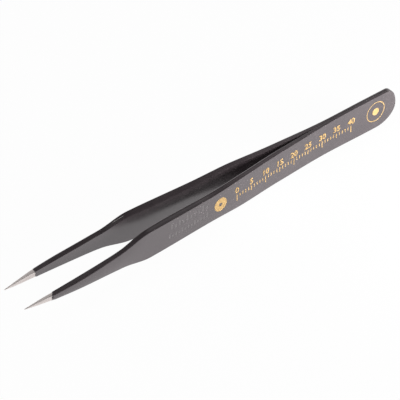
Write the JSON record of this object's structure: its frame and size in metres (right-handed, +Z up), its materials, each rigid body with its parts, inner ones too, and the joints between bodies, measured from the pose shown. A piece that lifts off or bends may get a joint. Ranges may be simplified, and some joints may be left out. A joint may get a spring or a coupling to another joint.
{
  "type": "tweezers",
  "caption": "Pointed anti-static tweezers: coated spring steel leaves welded at the tail, with bare ground points that meet when the grip is squeezed.",
  "frame": {"origin": "middle of the length and of the opening, on the surface that the tweezers lie on with their long edges", "axes": "+X from the points to the tail end, +Y from the left leaf to the right leaf (the direction in which the left leaf closes), +Z up across the width of the leaves"},
  "size_m": [0.12, 0.0112, 0.0103],
  "materials": {
    "bare_steel": "finely ground bare stainless steel",
    "dark_coat": "satin black static-dissipative epoxy, faintly pebbled",
    "weld_steel": "fused steel",
    "gold_print": "thin gold printing ink"
  },
  "bodies": {
    "tail": {"left_leaf_root": "bare_steel", "left_coat_root": "dark_coat", "right_leaf_root": "bare_steel", "right_coat_root": "dark_coat", "spot_welds": "weld_steel", "rule_root_print": "gold_print", "tail_ring_print": "gold_print"},
    "left_arm": {"left_point": "bare_steel", "left_leaf_arm": "bare_steel", "left_coat_arm": "dark_coat", "grip_ring_print": "gold_print", "rule_arm_print": "gold_print"},
    "right_arm": {"right_point": "bare_steel", "right_leaf_arm": "bare_steel", "right_coat_arm": "dark_coat"}
  },
  "joints": [
    {"name": "left_leaf_flex", "type": "hinge", "parent": "tail", "child": "left_arm", "pos_m": [0.028, -0.00078, 0.00515], "axis": [0, 0, -1], "range_deg": [0, 2.68], "stiffness_Nm_per_rad": 4.3},
    {"name": "right_leaf_flex", "type": "hinge", "parent": "tail", "child": "right_arm", "pos_m": [0.028, 0.00078, 0.00515], "axis": [0, 0, 1], "range_deg": [0, 2.68], "stiffness_Nm_per_rad": 4.3}
  ]
}
